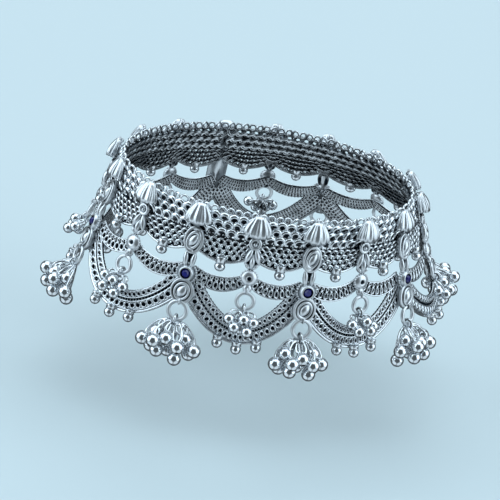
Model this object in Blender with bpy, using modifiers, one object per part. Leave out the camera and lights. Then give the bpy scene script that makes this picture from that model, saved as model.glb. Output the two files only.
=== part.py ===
# Payal anklet: a silver chain net worn round the ankle, with tall and short ornament stems in front of
# it, two tiers of chain swags between the stems, and bunches of small round bells under them.
# Metres, +Z up along the leg. The origin is the middle of the ankle's hollow, 9 mm below the top edge.
# Toes point to -X and the heel to +X; the clasp is at the middle of the +Y side.

from math import cos, pi, sin, sqrt

import bmesh
import bpy
import numpy as np
from mathutils import Matrix, Vector

MM = 0.001

# The worn form: an elliptical top edge, and a skin that opens outwards as it goes down.
SEMI_X = 42 * MM
SEMI_Y = 37 * MM
TOP_Z = 9 * MM
SIDE_FLARE = 0.105
END_FLARE = 0.295
HEEL_FLARE = 0.094

# Sixteen stations share the top edge evenly. Even ones carry a tall stem, odd ones a short stem.
STATIONS = 16
CLASP_STATION = 12
NET_STATIONS = 4
PITCH = 2

# Layers, as lifts off the skin. A stem clears what it hangs over by GAP.
GAP = 0.3 * MM
CHAIN_THICK = 1.2 * MM
STEM_LIFT = CHAIN_THICK + GAP + 0.2 * MM
STEM_MIDDLE = 18 * MM

NET_HEIGHT = 15.4 * MM
NET_STEM_HEIGHT = 12.6 * MM
NET_COLUMNS = 16
NET_BEAD_RADIUS = 1.4 * MM
NET_BEAD_DROP = NET_HEIGHT + 0.9 * MM

WIDE_SWAG_DROP = 21.0 * MM
WIDE_SWAG_SAG = 13.6 * MM
WIDE_SWAG_WIDTH = 5.8 * MM
WIDE_SWAG_INSET = 0.075
WIDE_SWAG_COLUMNS = 10
SWAG_BEAD_RADIUS = 1.5 * MM
SWAG_BEAD_SINK = 0.6 * MM
SWAG_BEAD_SHARES = (0.37, 0.5, 0.63)

SLIM_SWAG_DROP = 18.4 * MM
SLIM_SWAG_SAG = 3.1 * MM
SLIM_SWAG_END_WIDTH = 2.4 * MM
SLIM_SWAG_WIDTH = 3.8 * MM
SLIM_SWAG_INSET = 0.035
SLIM_SWAG_COLUMNS = 10

CROWN_HEIGHT = 7.0 * MM
CROWN_WIDTH = 7.6 * MM
CROWN_THICK = 3.2 * MM
CROWN_FLUTES = 5
CROWN_NECK = 0.42
CROWN_GROOVE = 0.82

# Bosses of each stem, from the top down.
# name: sides, drop of its middle, width, height, thickness, share of its size that its flat front keeps
TALL_BOSSES = {
    "oval": (8, 10.7, 5.6, 8.0, 1.9, 0.62),
    "bridge": (4, 15.9, 3.4, 5.6, 1.3, 0.80),
    "round": (8, 20.2, 5.2, 5.2, 1.5, 0.84),
    "leaf": (8, 25.4, 6.8, 7.4, 2.1, 0.56),
}
SHORT_BOSSES = {
    "bow": (8, 8.2, 4.4, 4.4, 1.6, 0.60),
    "bars": (6, 12.7, 4.0, 7.2, 1.2, 0.85),
    "flower": (8, 17.9, 4.8, 5.4, 1.7, 0.60),
    "loop": (4, 21.4, 2.0, 4.4, 1.3, 0.80),
}

STONE_RADIUS = 1.35 * MM
STONE_HEIGHT = 0.9 * MM
STONE_SIDES = 8

# Jump rings are soldered under the stems, and every bunch hangs on one.
# drop of the ring's middle, mean radius, wire radius
TALL_RING = (31.0 * MM, 2.6 * MM, 0.45 * MM)
SHORT_RING = (24.4 * MM, 2.35 * MM, 0.45 * MM)
RING_LIFT = STEM_LIFT + 0.9 * MM
RING_SIDES = 8
LINK_SIDES = 6
WIRE_SIDES = 4
LINK_RADIUS = 1.3 * MM
LINK_WIRE = 0.4 * MM
TIP_SPREAD = 0.03
TIP_SHARE = 0.75

# Bells of each bunch: side, drop below the ring's middle, lift off the skin.
BELL_RADIUS = 1.95 * MM
BELL_SIDES = 5
BELLS = (
    (-6.6, 10.6, 4.4), (6.6, 10.6, 4.4),
    (-2.6, 12.6, 5.6), (2.6, 13.1, 5.6),
    (-3.9, 7.8, 3.8), (3.9, 7.6, 3.8), (0.0, 8.4, 6.0),
)
SMALL_BELL_RADIUS = 1.75 * MM
SMALL_BELLS = (
    (-3.3, 6.3, 4.7), (3.3, 6.1, 4.7),
    (0.0, 8.5, 6.2), (0.2, 6.0, 3.6),
)

CLASP_WIDTH = 6.0 * MM
CLASP_HEIGHT = 27.6 * MM
CLASP_THICK = 1.8 * MM
CLASP_ROUNDING = 2.2 * MM

SILVER = ("polished silver", (0.80, 0.81, 0.82, 1.0), 1.0, 0.20)
BLUE_GLASS = ("deep blue stone", (0.03, 0.03, 0.16, 1.0), 0.0, 0.08)


def clear_scene():
    for obj in list(bpy.data.objects):
        bpy.data.objects.remove(obj)


def new_collection(name):
    collection = bpy.data.collections.new(name)
    bpy.context.scene.collection.children.link(collection)
    return collection


def material(settings):
    name, colour, metallic, roughness = settings
    made = bpy.data.materials.new(name)
    made.use_nodes = True
    shader = made.node_tree.nodes["Principled BSDF"]
    shader.inputs["Base Color"].default_value = colour
    shader.inputs["Metallic"].default_value = metallic
    shader.inputs["Roughness"].default_value = roughness
    return made


def arc_table(steps=2880):
    """Angles round the top edge, from the toe end, and the share of its length reached at each."""
    angles = pi + np.linspace(0, 2 * pi, steps + 1)
    points = np.stack([SEMI_X * np.cos(angles), SEMI_Y * np.sin(angles)], axis=1)
    lengths = np.linalg.norm(np.diff(points, axis=0), axis=1)
    reached = np.concatenate([[0.0], np.cumsum(lengths)])
    return angles, reached / reached[-1]


ANGLES, REACHED = arc_table()


def bench_frame(station):
    """Axes of one station on its top edge: X along the loop, Y up the skin, Z out of it."""
    share = (station / STATIONS) % 1.0
    angle = float(np.interp(share, REACHED, ANGLES))
    edge = Vector((SEMI_X * cos(angle), SEMI_Y * sin(angle), TOP_Z))
    normal = Vector((cos(angle) / SEMI_X, sin(angle) / SEMI_Y, 0)).normalized()
    flare = SIDE_FLARE + END_FLARE * normal.x**2 + HEEL_FLARE * normal.x
    out = (normal + Vector((0, 0, flare))).normalized()
    up = (Vector((0, 0, 1)) - normal * flare).normalized()
    side = up.cross(out)
    turned = Matrix((side, up, out)).transposed().to_4x4()
    return Matrix.Translation(edge) @ turned


def skin(station, drop, lift=0.0):
    return bench_frame(station) @ Vector((0, -drop, lift))


def stem_frame(station):
    """The bench turned about its own Y, so that it lies flat on the skin halfway down a stem."""
    frame = bench_frame(station)
    up = frame.col[1].to_3d()
    along = skin(station + 0.1, STEM_MIDDLE) - skin(station - 0.1, STEM_MIDDLE)
    out = along.cross(up).normalized()
    turned = Matrix((up.cross(out), up, out)).transposed().to_4x4()
    return Matrix.Translation(frame.translation) @ turned


def new_object(name, mesh, collection):
    obj = bpy.data.objects.new(name, mesh)
    collection.objects.link(obj)
    return obj


def mesh_from(bm, name):
    mesh = bpy.data.meshes.new(name)
    bm.to_mesh(mesh)
    bm.free()
    return mesh


def fused(name, pieces, workbench):
    """One mesh from pieces that overlap, joined in turn by Booleans. The pieces are used up."""
    first = pieces[0]
    for piece in pieces[1:]:
        join = first.modifiers.new("join", "BOOLEAN")
        join.operation = "UNION"
        join.object = piece
    bpy.context.view_layer.update()
    graph = bpy.context.evaluated_depsgraph_get()
    mesh = bpy.data.meshes.new_from_object(first.evaluated_get(graph))
    mesh.transform(first.matrix_world)
    mesh.name = name
    for piece in pieces:
        workbench.objects.unlink(piece)
        bpy.data.objects.remove(piece)
    return mesh


def thickened(name, sheet, workbench):
    """A chain strip's open surface made into a wall of CHAIN_THICK, grown outwards."""
    obj = new_object(name, sheet, workbench)
    wall = obj.modifiers.new("wall", "SOLIDIFY")
    wall.thickness = CHAIN_THICK
    wall.offset = 1
    return obj


def ball(centre, radius, workbench):
    bm = bmesh.new()
    bmesh.ops.create_uvsphere(
        bm, u_segments=6, v_segments=3, radius=radius, matrix=Matrix.Translation(centre)
    )
    return new_object("ball", mesh_from(bm, "ball"), workbench)


def boss(settings, workbench):
    """A domed plate on the bench: a low cone with an oval outline, wide at its back."""
    sides, drop, width, height, thick, front = settings
    bm = bmesh.new()
    bmesh.ops.create_cone(
        bm, cap_ends=True, segments=sides, radius1=0.5, radius2=0.5 * front, depth=1,
        matrix=Matrix.Translation((0, -drop * MM, STEM_LIFT + thick * MM / 2))
        @ Matrix.Diagonal((width * MM, height * MM, thick * MM, 1)),
    )
    return new_object("boss", mesh_from(bm, "boss"), workbench)


def crown(workbench):
    """The fluted bell at the top of a stem: a flattened cone whose every second corner is drawn in."""
    bm = bmesh.new()
    laid = Matrix.Translation((0, -CROWN_HEIGHT / 2, STEM_LIFT + CROWN_THICK / 2))
    flattened = Matrix.Diagonal((CROWN_WIDTH / 2, 1, CROWN_THICK / 2, 1))
    bmesh.ops.create_cone(
        bm, cap_ends=True, segments=2 * CROWN_FLUTES, radius1=1, radius2=CROWN_NECK, depth=CROWN_HEIGHT,
        matrix=Matrix.Rotation(-pi / 2, 4, "X"),
    )
    bm.verts.ensure_lookup_table()
    for vert in bm.verts:
        turn = np.arctan2(vert.co.z, vert.co.x) / (2 * pi) * 2 * CROWN_FLUTES
        if round(turn) % 2:
            vert.co.x *= CROWN_GROOVE
            vert.co.z *= CROWN_GROOVE
    bm.transform(laid @ flattened)
    return new_object("crown", mesh_from(bm, "crown"), workbench)


def ring(centre, radius, wire, sides, turn, workbench):
    bpy.ops.mesh.primitive_torus_add(
        major_segments=sides, minor_segments=WIRE_SIDES, major_radius=radius, minor_radius=wire
    )
    obj = bpy.context.object
    for holder in obj.users_collection:
        holder.objects.unlink(obj)
    workbench.objects.link(obj)
    obj.data.transform(Matrix.Translation(centre) @ turn)
    return obj


def stem_mesh(name, bosses, ring_sizes, workbench):
    drop, radius, wire = ring_sizes
    pieces = [crown(workbench)]
    pieces += [boss(settings, workbench) for settings in bosses.values()]
    middle = Vector((0, -drop, RING_LIFT))
    pieces.append(ring(middle, radius, wire, RING_SIDES, Matrix.Identity(4), workbench))
    return fused(name, pieces, workbench)


def bell(tip, centre, radius, workbench):
    """One bell and its teardrop loop: a drop turned about the line from its tip."""
    reach = (centre - tip).length
    low, high = reach + 0.55 * radius, reach - 0.25 * radius
    profile = ((0.0, reach + radius), (0.83 * radius, low), (0.97 * radius, high), (0.0, 0.0))
    mesh = bpy.data.meshes.new("bell")
    edges = [(i, i + 1) for i in range(len(profile) - 1)]
    mesh.from_pydata([(r, 0, -z) for r, z in profile], edges, [])
    obj = new_object("bell", mesh, workbench)
    screw = obj.modifiers.new("turned", "SCREW")
    screw.steps = screw.render_steps = BELL_SIDES
    screw.use_merge_vertices = True
    screw.merge_threshold = 0.00001
    screw.use_normal_calculate = True
    towards = (centre - tip).normalized()
    turn = Vector((0, 0, -1)).rotation_difference(towards).to_matrix().to_4x4()
    obj.matrix_world = Matrix.Translation(tip) @ turn
    return obj


def bunch_mesh(name, bells, radius, ring_sizes, workbench):
    """The bells of one stem, on a link that goes round the jump ring's lowest stretch."""
    drop, ring_radius, _ = ring_sizes
    eye = Vector((0, -drop - ring_radius, RING_LIFT))
    across = Matrix.Rotation(pi / 2, 4, "Y")
    pieces = [ring(eye, LINK_RADIUS, LINK_WIRE, LINK_SIDES, across, workbench)]
    for side, below, lift in bells:
        centre = Vector((side * MM, -drop - below * MM, lift * MM))
        tip = eye + Vector((TIP_SPREAD * side * MM, -TIP_SHARE * LINK_RADIUS, 0))
        pieces.append(bell(tip, centre, radius, workbench))
    return fused(name, pieces, workbench)


def stone_mesh():
    _, drop, _, _, thick, _ = TALL_BOSSES["round"]
    seat = STEM_LIFT + thick * MM + GAP
    bm = bmesh.new()
    bmesh.ops.create_cone(
        bm, cap_ends=True, segments=STONE_SIDES, depth=STONE_HEIGHT,
        radius1=STONE_RADIUS, radius2=0.6 * STONE_RADIUS,
        matrix=Matrix.Translation((0, -drop * MM, seat + STONE_HEIGHT / 2)),
    )
    return mesh_from(bm, "stone")


def net_sheet(start):
    """A quarter of the net: a grid one row high, bent on to the skin. It hangs lowest between stems."""
    bm = bmesh.new()
    bmesh.ops.create_grid(bm, x_segments=NET_COLUMNS, y_segments=1, size=0.5)
    pitch = (skin(start + 1, 0) - skin(start, 0)).length
    inset = GAP / 2 / pitch
    for vert in bm.verts:
        station = start + inset + (vert.co.x + 0.5) * (NET_STATIONS - 2 * inset)
        hang = 1 - (2 * (station % 1) - 1) ** 2
        height = NET_STEM_HEIGHT + (NET_HEIGHT - NET_STEM_HEIGHT) * hang
        vert.co = skin(station, (0.5 - vert.co.y) * height)
    return mesh_from(bm, "net")


def ribbon_sheet(start, inset, columns, drop_at, width_at):
    """A chain strip from station start to the next tall stem: a grid laid across its middle line."""
    bm = bmesh.new()
    bmesh.ops.create_grid(bm, x_segments=columns, y_segments=1, size=0.5)
    for vert in bm.verts:
        share = inset + (vert.co.x + 0.5) * (1 - 2 * inset)
        station, drop = start + PITCH * share, drop_at(share)
        pitch = (skin(station + 0.5, drop) - skin(station - 0.5, drop)).length
        fall = (drop_at(share + 0.01) - drop_at(share - 0.01)) / (0.02 * PITCH * pitch)
        across = vert.co.y * width_at(share) / sqrt(1 + fall**2)
        vert.co = skin(station + across * fall / pitch, drop - across)
    return mesh_from(bm, "ribbon")


def wide_drop(share):
    return WIDE_SWAG_DROP + WIDE_SWAG_SAG * (1 - (2 * share - 1) ** 2)


def slim_bow(share):
    """0 where a slim swag passes a stem, 1 at the middle of each of its two bows."""
    return 1 - (4 * (share % 0.5) - 1) ** 2


def slim_drop(share):
    return SLIM_SWAG_DROP + SLIM_SWAG_SAG * slim_bow(share)


def slim_width(share):
    return SLIM_SWAG_END_WIDTH + (SLIM_SWAG_WIDTH - SLIM_SWAG_END_WIDTH) * slim_bow(share)


def make_net(number, collection, workbench):
    start = CLASP_STATION + (number - 1) * NET_STATIONS
    pieces = [thickened("wall", net_sheet(start), workbench)]
    for step in range(NET_STATIONS):
        centre = skin(start + step + 0.5, NET_BEAD_DROP, NET_BEAD_RADIUS)
        pieces.append(ball(centre, NET_BEAD_RADIUS, workbench))
    name = f"chain_net_{number}"
    return new_object(name, fused(name, pieces, workbench), collection)


def make_wide_swag(number, collection, workbench):
    start = CLASP_STATION + (number - 1) * PITCH
    sheet = ribbon_sheet(start, WIDE_SWAG_INSET, WIDE_SWAG_COLUMNS, wide_drop, lambda share: WIDE_SWAG_WIDTH)
    pieces = [thickened("strip", sheet, workbench)]
    for share in SWAG_BEAD_SHARES:
        below = WIDE_SWAG_WIDTH / 2 + SWAG_BEAD_RADIUS - SWAG_BEAD_SINK
        centre = skin(start + PITCH * share, wide_drop(share) + below, SWAG_BEAD_RADIUS)
        pieces.append(ball(centre, SWAG_BEAD_RADIUS, workbench))
    name = f"wide_swag_{number}"
    return new_object(name, fused(name, pieces, workbench), collection)


def make_slim_swag(number, collection, workbench):
    start = CLASP_STATION + (number - 1) * PITCH
    sheet = ribbon_sheet(start, SLIM_SWAG_INSET, SLIM_SWAG_COLUMNS, slim_drop, slim_width)
    name = f"slim_swag_{number}"
    return new_object(name, fused(name, [thickened("strip", sheet, workbench)], workbench), collection)


def make_clasp(collection):
    """A plain rounded plate over the two ends of the anklet."""
    bm = bmesh.new()
    middle = Matrix.Translation((0, -CLASP_HEIGHT / 2, STEM_LIFT + CLASP_THICK / 2))
    size = Matrix.Diagonal((CLASP_WIDTH, CLASP_HEIGHT, CLASP_THICK, 1))
    bmesh.ops.create_cube(bm, size=1, matrix=middle @ size)
    corners = [edge for edge in bm.edges if abs(edge.verts[0].co.z - edge.verts[1].co.z) > GAP]
    bmesh.ops.bevel(bm, geom=corners, offset=CLASP_ROUNDING, segments=4, profile=0.5, affect="EDGES")
    obj = new_object("clasp_plate", mesh_from(bm, "clasp"), collection)
    obj.matrix_world = stem_frame(CLASP_STATION)
    return obj


def place_copies(name, mesh, stations, collection):
    """The same piece at each of these stations, numbered from the clasp on."""
    made = []
    for number, station in enumerate(stations, 1):
        obj = new_object(f"{name}_{number}", mesh, collection)
        obj.matrix_world = stem_frame(station)
        made.append(obj)
    return made


def main():
    clear_scene()
    collection = new_collection("payal_anklet")
    workbench = new_collection("workbench")
    tall = [CLASP_STATION + PITCH * step for step in range(1, STATIONS // PITCH)]
    short = [CLASP_STATION + 1 + PITCH * step for step in range(STATIONS // PITCH)]

    silver_pieces = [make_clasp(collection)]
    for number in range(1, STATIONS // NET_STATIONS + 1):
        silver_pieces.append(make_net(number, collection, workbench))
    for number in range(1, STATIONS // PITCH + 1):
        silver_pieces.append(make_wide_swag(number, collection, workbench))
        silver_pieces.append(make_slim_swag(number, collection, workbench))

    tall_stem = stem_mesh("tall_stem", TALL_BOSSES, TALL_RING, workbench)
    short_stem = stem_mesh("short_stem", SHORT_BOSSES, SHORT_RING, workbench)
    bunch = bunch_mesh("bell_bunch", BELLS, BELL_RADIUS, TALL_RING, workbench)
    small_bunch = bunch_mesh("small_bunch", SMALL_BELLS, SMALL_BELL_RADIUS, SHORT_RING, workbench)
    silver_pieces += place_copies("tall_stem", tall_stem, tall, collection)
    silver_pieces += place_copies("short_stem", short_stem, short, collection)
    silver_pieces += place_copies("bell_bunch", bunch, tall, collection)
    silver_pieces += place_copies("small_bunch", small_bunch, short, collection)
    stones = place_copies("stone", stone_mesh(), tall, collection)

    silver, blue = material(SILVER), material(BLUE_GLASS)
    for obj in silver_pieces + stones:
        obj.data.materials.clear()
        obj.data.materials.append(blue if obj in stones else silver)


main()
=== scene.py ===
import random
from math import cos, pi, radians, sin

import bmesh
import bpy
import numpy as np
from mathutils import Matrix, Vector


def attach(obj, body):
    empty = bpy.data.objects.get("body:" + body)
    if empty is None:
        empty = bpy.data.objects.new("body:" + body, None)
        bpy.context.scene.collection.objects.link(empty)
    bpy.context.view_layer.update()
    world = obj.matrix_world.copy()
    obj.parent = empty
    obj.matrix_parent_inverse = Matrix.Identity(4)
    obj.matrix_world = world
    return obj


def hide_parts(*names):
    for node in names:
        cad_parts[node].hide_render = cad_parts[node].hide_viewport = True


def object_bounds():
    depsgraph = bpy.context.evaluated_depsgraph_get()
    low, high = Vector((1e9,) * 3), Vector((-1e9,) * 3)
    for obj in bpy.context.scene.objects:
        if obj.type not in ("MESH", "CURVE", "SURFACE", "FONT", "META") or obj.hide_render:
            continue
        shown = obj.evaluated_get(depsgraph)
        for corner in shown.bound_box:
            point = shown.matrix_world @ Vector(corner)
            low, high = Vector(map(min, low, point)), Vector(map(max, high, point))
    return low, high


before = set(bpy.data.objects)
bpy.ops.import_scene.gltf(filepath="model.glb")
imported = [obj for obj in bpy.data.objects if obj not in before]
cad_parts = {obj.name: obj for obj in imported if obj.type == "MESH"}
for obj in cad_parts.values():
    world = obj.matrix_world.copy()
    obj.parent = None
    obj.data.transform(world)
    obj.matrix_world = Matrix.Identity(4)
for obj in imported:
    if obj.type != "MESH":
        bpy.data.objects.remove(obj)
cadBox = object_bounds()
chance = random.Random(11)
mm = 0.001


# the form it is worn in: an oval top edge, and a skin that leans out as it falls
ankle = {
    "semiX": 42.0, "semiY": 37.0, "topZ": 9.0,  # the oval of the top edge, and its height over the origin
    "sideFlare": 0.105, "endFlare": 0.295, "heelFlare": 0.094,  # how far the skin leans out per mm of drop
    "stations": 16, "claspStation": 12, "stemMiddle": 18.0, "stemLift": 1.7, "rimSteps": 2880,
}

turns = pi + np.linspace(0, 2 * pi, ankle["rimSteps"] + 1)
rim = np.stack([ankle["semiX"] * np.cos(turns), ankle["semiY"] * np.sin(turns)], axis=1)
steps = np.linalg.norm(np.diff(rim, axis=0), axis=1)
reached = np.concatenate([[0.0], np.cumsum(steps)]) / steps.sum()
pitch = steps.sum() / ankle["stations"]  # mm from one station to the next, along the top edge

# tall and short stems take turns, with the clasp in place of one tall stem. A swag spans two stations
tallStations = {number: ankle["claspStation"] + 2 * number for number in range(1, 8)}
shortStations = {number: ankle["claspStation"] + 2 * number - 1 for number in range(1, 9)}
swagStarts = {number: station - 1 for number, station in shortStations.items()}


def skinAxes(station):
    # rows of: edge point, way up the skin, way out of it. The station may be an array
    share = (np.atleast_1d(np.asarray(station, float)) / ankle["stations"]) % 1.0
    angle = np.interp(share, reached, turns)
    edge = np.stack([ankle["semiX"] * np.cos(angle), ankle["semiY"] * np.sin(angle)], axis=1)
    normal = np.stack([np.cos(angle) / ankle["semiX"], np.sin(angle) / ankle["semiY"]], axis=1)
    normal /= np.linalg.norm(normal, axis=1)[:, None]
    lean = ankle["sideFlare"] + ankle["endFlare"] * normal[:, 0] ** 2 + ankle["heelFlare"] * normal[:, 0]
    size = np.sqrt(1 + lean**2)[:, None]
    edge = np.column_stack([edge, np.full(len(edge), ankle["topZ"])])
    up = np.column_stack([-normal * lean[:, None], np.ones(len(normal))]) / size
    out = np.column_stack([normal, lean]) / size
    return edge, up, out


def skin(station, drop, lift=0.0):
    edge, up, out = skinAxes(station)
    drop, lift = np.atleast_1d(drop)[:, None], np.atleast_1d(lift)[:, None]
    return edge - up * drop + out * lift


def facing(up, out):
    # the turn that brings the bench's Y up the skin and its Z out of it
    return Matrix((up.cross(out), up, out)).transposed().to_4x4()


def stemFrame(station):
    # the bench at a station, turned about its own Y to lie flat halfway down a stem
    edge, up, _ = skinAxes(station)
    up = Vector(up[0])
    middle, nudge = ankle["stemMiddle"], 0.1
    along = Vector((skin(station + nudge, middle) - skin(station - nudge, middle))[0])
    out = along.cross(up).normalized()
    return Matrix.Scale(mm, 4) @ Matrix.Translation(Vector(edge[0])) @ facing(up, out)


def deselectAll():
    bpy.ops.object.select_all(action="DESELECT")


def primitive(kind, **settings):
    deselectAll()
    getattr(bpy.ops.mesh, f"primitive_{kind}_add")(**settings)
    return bpy.context.object


def makeActive(obj):
    deselectAll()
    obj.select_set(True)
    bpy.context.view_layer.objects.active = obj


def editWith(obj, kind, test):
    # edit mode with only the verts, edges or faces that pass the test selected
    makeActive(obj)
    bpy.ops.object.mode_set(mode="EDIT")
    bpy.ops.mesh.select_mode(type=kind)
    bpy.ops.mesh.select_all(action="DESELECT")
    editing = bmesh.from_edit_mesh(obj.data)
    parts = {"VERT": editing.verts, "EDGE": editing.edges, "FACE": editing.faces}[kind]
    for part in parts:
        part.select_set(bool(test(part)))
    editing.select_flush_mode()
    bmesh.update_edit_mesh(obj.data)


def leaveEdit():
    bpy.ops.object.mode_set(mode="OBJECT")


def span(edge, axis):
    # how far an edge reaches along x, y or z: 0, 1 or 2
    return abs(edge.verts[0].co[axis] - edge.verts[1].co[axis])


def lowest(edge):
    return min(vert.co.z for vert in edge.verts)


def isTopFace(face):
    # the many-sided face on top of a plate or a cone
    return len(face.verts) > 8 and face.normal.z > 0.9


def settle(obj):
    makeActive(obj)
    bpy.ops.object.transform_apply(location=True, rotation=True, scale=True)
    return obj


def useModifier(obj, kind, **settings):
    makeActive(obj)
    modifier = obj.modifiers.new(kind.lower(), kind)
    for name, value in settings.items():
        setattr(modifier, name, value)
    bpy.ops.object.modifier_apply(modifier=modifier.name)
    return obj


def points(obj):
    co = np.empty(len(obj.data.vertices) * 3, np.float32)
    obj.data.vertices.foreach_get("co", co)
    return co.reshape(-1, 3).astype(float)


def movePoints(obj, co):
    obj.data.vertices.foreach_set("co", np.asarray(co, np.float32).ravel())
    obj.data.update()
    return obj


def oxideAndShade(obj, amounts):
    # 0 is bright silver, 1 is black: the oxide left in a recess, and also painted shade on backs, undersides
    #                                 and behind openwork
    attributes = obj.data.attributes
    layer = attributes.get("oxideAndShade") or attributes.new("oxideAndShade", "FLOAT", "POINT")
    amounts = np.clip(np.broadcast_to(amounts, len(layer.data)), 0, 1)
    layer.data.foreach_set("value", amounts.astype(np.float32))
    return obj


def oxideAndShadeOf(obj):
    layer = obj.data.attributes.get("oxideAndShade")
    values = np.zeros(len(obj.data.vertices), np.float32)
    if layer:
        layer.data.foreach_get("value", values)
    return values


def joined(name, pieces):
    for piece in pieces:
        settle(piece)
        if not piece.data.attributes.get("oxideAndShade"):
            oxideAndShade(piece, 0)
    deselectAll()
    for piece in pieces:
        piece.select_set(True)
    bpy.context.view_layer.objects.active = pieces[0]
    if len(pieces) > 1:
        bpy.ops.object.join()
    pieces[0].name = pieces[0].data.name = name
    return pieces[0]


def readIntegers(collection, name):
    values = np.empty(len(collection), np.int32)
    collection.foreach_get(name, values)
    return values


def repeated(values, count, step):
    # the values count times over, raised by one more step each time
    return np.tile(values, count) + np.repeat(np.arange(count, dtype=np.int32), len(values)) * step


def layOut(name, source, places):
    # one mesh that holds a copy of source for each matrix in places
    co, oxideAndShadeLevel, mesh, count = points(source), oxideAndShadeOf(source), source.data, len(places)
    corners = readIntegers(mesh.loops, "vertex_index")
    starts = readIntegers(mesh.polygons, "loop_start")
    moved = [co @ np.array(place.to_3x3()).T + np.array(place.translation) for place in places]
    laid = bpy.data.meshes.new(name)
    laid.vertices.add(len(co) * count)
    laid.vertices.foreach_set("co", np.concatenate(moved).astype(np.float32).ravel())
    laid.loops.add(len(corners) * count)
    laid.loops.foreach_set("vertex_index", repeated(corners, count, len(co)))
    laid.polygons.add(len(starts) * count)
    laid.polygons.foreach_set("loop_start", repeated(starts, count, len(corners)))
    laid.update(calc_edges=True)
    laid.shade_smooth()
    obj = bpy.data.objects.new(name, laid)
    bpy.context.scene.collection.objects.link(obj)
    return oxideAndShade(obj, np.tile(oxideAndShadeLevel, count))


def place(x, y, z, tiltX=0.0, tiltY=0.0):
    turned = Matrix.Rotation(tiltY, 4, "Y") @ Matrix.Rotation(tiltX, 4, "X")
    return Matrix.Translation((x, y, z)) @ turned


def discard(*pieces):
    for piece in pieces:
        bpy.data.objects.remove(piece)


def copyTo(source, name, matrix):
    obj = bpy.data.objects.new(name, source.data.copy())
    bpy.context.scene.collection.objects.link(obj)
    obj.data.transform(matrix)
    obj.data.name = name
    return obj


# how black a wire is painted in its hole (oxide and painted shade) and underneath (painted shade), and how
# much less dark the back of a painted-shade ring is
wireOxideAndShade = {"inside": 0.25, "under": 0.7, "paleBack": 0.6}


def ring(mean, wire, sides=11, around=5):
    # a wire ring in the XY plane, black inside as oxide and painted shade, and underneath as painted shade
    link = primitive("torus", major_segments=sides, minor_segments=around,
                     major_radius=mean, minor_radius=wire)
    co = points(link)
    inward = (mean - np.hypot(co[:, 0], co[:, 1])) / wire
    backward = -co[:, 2] / wire
    return oxideAndShade(link, wireOxideAndShade["inside"] * np.maximum(inward, 0)
                   + wireOxideAndShade["under"] * np.maximum(backward, 0))


def paintedShadeRing(mean, wire, sides=8, depth=1.0):
    # a ring of the layer next to the skin: its face is painted black as the shade seen through the front
    # rings, its back less dark
    link = ring(mean, wire, sides, 4)
    return oxideAndShade(link, depth * (1.0 - wireOxideAndShade["paleBack"] * np.clip(-points(link)[:, 2] / wire, 0, 1)))


def smoothCord(start, end, y, lift, wire, cuts=40):
    # a drawn wire that runs along a flat strip
    cord = primitive("cylinder", vertices=6, radius=wire, depth=end - start, rotation=(0, pi / 2, 0))
    settle(cord)
    editWith(cord, "EDGE", lambda edge: span(edge, 0) > wire)
    bpy.ops.mesh.subdivide(number_cuts=cuts)
    leaveEdit()
    # the underside is painted darker as painted shade
    oxideAndShade(cord, wireOxideAndShade["under"] * np.clip(-points(cord)[:, 2] / wire, 0, 1))
    cord.location = ((start + end) / 2, y, lift)
    return settle(cord)


beadShape = {
    # as shares of the ball's radius, the cup's bottom and top, and the wire collar and its wire in mm
    "cup": (0.98, 0.86), "collar": (0.84, 0.17), "collarDrop": 0.2,
    "overlap": 0.5, "rise": 0.05, "bevel": 0.15,
}


def dropBead(radius, neck):
    # a ball under a cup as wide as itself, hanging down from the origin
    ball = primitive("uv_sphere", segments=16, ring_count=10, radius=radius, location=(0, -neck - radius, 0))
    bottom, top = beadShape["cup"]
    cup = primitive("cone", vertices=14, radius1=radius * bottom, radius2=radius * top,
                    depth=neck + beadShape["overlap"], location=(0, -neck / 2 + beadShape["rise"], 0),
                    rotation=(pi / 2, 0, 0))
    settle(cup)
    editWith(cup, "EDGE", lambda edge: span(edge, 1) < 0.1)
    bpy.ops.mesh.bevel(offset=beadShape["bevel"], segments=2)
    leaveEdit()
    around, wire = beadShape["collar"]
    collar = ring(radius * around, wire, 14, 5)
    collar.rotation_euler = (pi / 2, 0, 0)
    collar.location = (0, -neck - beadShape["collarDrop"] * radius, 0)
    co = points(ball)
    # the lowest tip of the ball is painted dark as painted shade
    oxideAndShade(ball, 0.9 * (co[:, 1] < -neck - 1.9 * radius))
    oxideAndShade(cup, 0.1)
    return joined("dropBead", [ball, cup, oxideAndShade(settle(collar), 0.5)])


def linear(hexCode):
    # a colour as it is mixed, from one as it is written
    channels = [int(hexCode[i:i + 2], 16) / 255 for i in (1, 3, 5)]
    return (*[c / 12.92 if c <= 0.04045 else ((c + 0.055) / 1.055) ** 2.4 for c in channels], 1.0)


def addNode(tree, kind, settings=None, **links):
    # links name an input, with underscores for spaces, or give its number after "in".
    # Each is set to a value, or linked to another node's output
    node = tree.nodes.new(kind)
    for name, value in (settings or {}).items():
        setattr(node, name, value)
    for name, value in links.items():
        numbered = name.startswith("in") and name[2:].isdigit()
        socket = node.inputs[int(name[2:]) if numbered else name.replace("_", " ")]
        if isinstance(value, bpy.types.NodeSocket):
            tree.links.new(value, socket)
        else:
            socket.default_value = value
    return node


def newMaterial(name):
    material = bpy.data.materials.new(name)
    material.use_nodes = True
    tree = material.node_tree
    return material, tree, tree.nodes["Principled BSDF"]


silverLook = {
    "bright": "#e9eef3", "warm": "#d6dadd", "oxideAndShadeColour": "#0f1922", "blackRough": 0.42,
    # the black, oxide and painted shade alike, is uneven: mm across its clouds, how much they change it, and
    # where it shows
    "cloud": 3.5, "wear": 0.4, "edge": (0.25, 0.85),
    # finish: roughness, mm between the soft dents of handwork, their depth in mm
    "wire": (0.15, 0.9, 0.02), "cast": (0.34, 0.5, 0.07), "bell": (0.07, 2.0, 0.01), "dentStrength": 0.4,
}


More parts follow.
